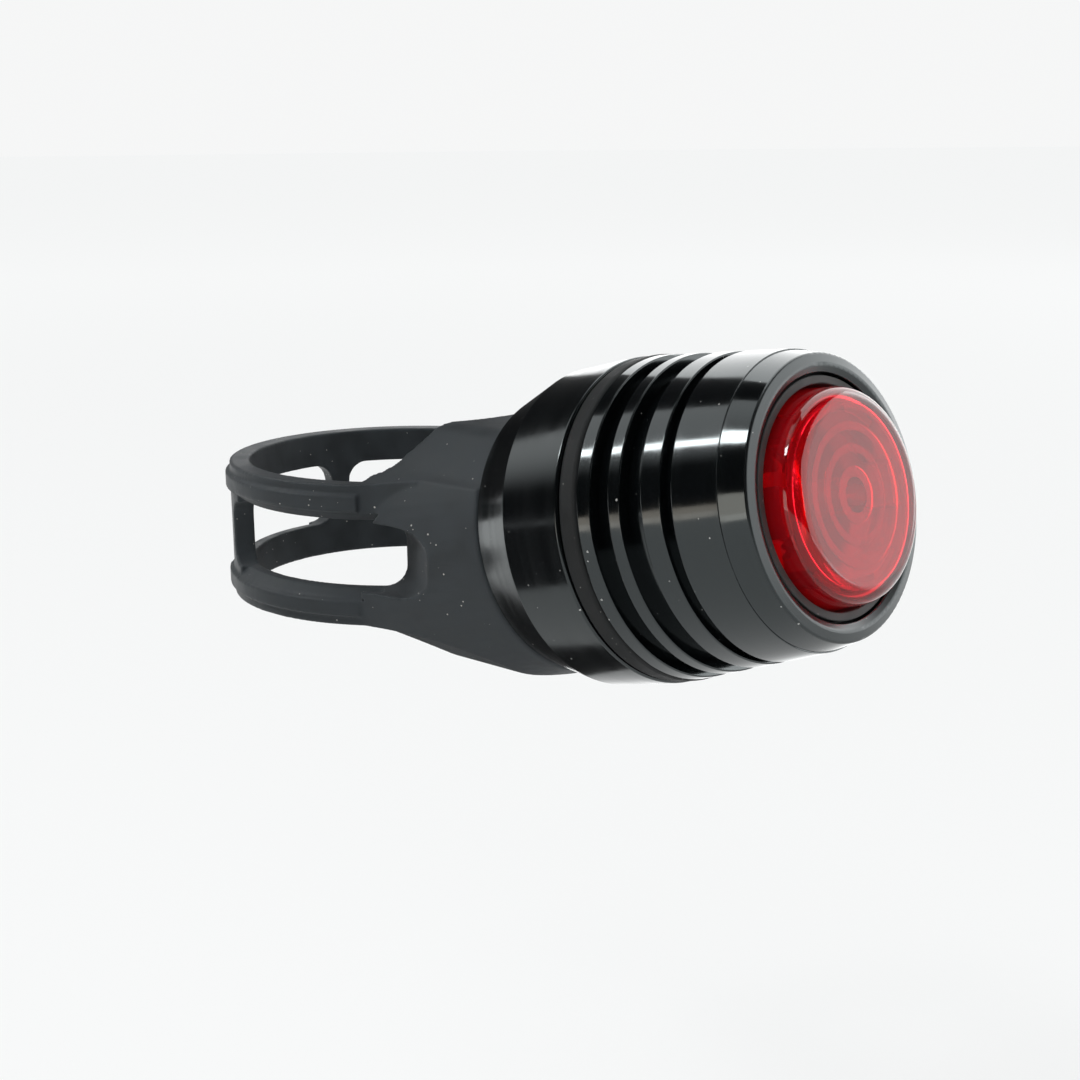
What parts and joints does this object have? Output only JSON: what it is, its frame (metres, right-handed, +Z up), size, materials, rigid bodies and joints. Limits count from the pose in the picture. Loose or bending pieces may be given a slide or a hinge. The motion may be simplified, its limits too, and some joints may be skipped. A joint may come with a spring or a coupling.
{
  "type": "bike rear light",
  "caption": "Small rear bicycle light: a turned metal body with a red push lens, on a stretch strap that hooks round a seat post.",
  "frame": {"origin": "centre of the clamp bore, on the seat post's axis at the middle of the strap's bands", "axes": "+Z up along the seat post, the lamp points along -Y and leans up by 13.75 degrees, the strap is hooked on the +X side"},
  "size_m": [0.0337, 0.0661, 0.0282],
  "materials": {
    "silicone": "matte moulded silicone with fine dust",
    "black_anodised": "gloss black anodised, turned",
    "seal_rubber": "matte rubber",
    "red_lens": "clear red moulded plastic",
    "collar_plastic": "dark moulded plastic",
    "black_nylon": "moulded plastic",
    "stainless": "plain steel",
    "spring_contact": "plated spring strip",
    "cell_steel": "plated steel can",
    "board": "lacquered circuit board",
    "led_body": "clear dome on a pale body",
    "resistor_body": "fired film with plated ends",
    "capacitor_body": "ceramic",
    "switch_button": "moulded plastic",
    "sleeve_film": "fish paper"
  },
  "bodies": {
    "base": {"strap": "silicone", "strap_hook": "black_nylon", "screw_washer": "stainless", "strap_screw": "stainless", "rear_cap": "black_anodised", "cap_contact": "spring_contact"},
    "joint_seal_body": {"joint_seal": "seal_rubber"},
    "barrel": {"front_barrel": "black_anodised", "lens_seal": "seal_rubber", "inner_collar": "collar_plastic", "circuit_board": "board", "led_1": "led_body", "led_2": "led_body", "led_3": "led_body", "led_4": "led_body", "switch_base": "black_nylon", "switch_cover": "stainless", "resistor_1": "resistor_body", "resistor_2": "resistor_body", "resistor_3": "resistor_body", "control_chip": "black_nylon", "capacitor": "capacitor_body", "positive_contact": "spring_contact", "board_retainer": "black_nylon", "battery_sleeve": "sleeve_film", "rear_cell": "cell_steel", "front_cell": "cell_steel"},
    "lens_button": {"lens": "red_lens"},
    "switch_button": {"switch_plunger": "switch_button"}
  },
  "joints": [
    {"name": "barrel_advance", "type": "slide", "parent": "base", "child": "joint_seal_body", "axis": [0, -0.9713, 0.2377], "range_m": [0, 0.005]},
    {"name": "barrel_turn", "type": "hinge", "parent": "joint_seal_body", "child": "barrel", "pos_m": [0, -0.0136, 0], "axis": [0, -0.9713, 0.2377], "range_deg": [0, 2400]},
    {"name": "lens_push", "type": "slide", "parent": "barrel", "child": "lens_button", "axis": [0, 0.9713, -0.2377], "range_m": [0, 0.0005], "stiffness_N_per_m": 1500, "springref_m": -0.0003},
    {"name": "plunger_push", "type": "slide", "parent": "barrel", "child": "switch_button", "axis": [0, 0.9713, -0.2377], "range_m": [0, 0.0005]}
  ],
  "couplings": [
    {"joint": "barrel_advance", "follows": "barrel_turn", "m_per_rad": 0.00011937},
    {"joint": "plunger_push", "follows": "lens_push", "ratio": 1}
  ]
}
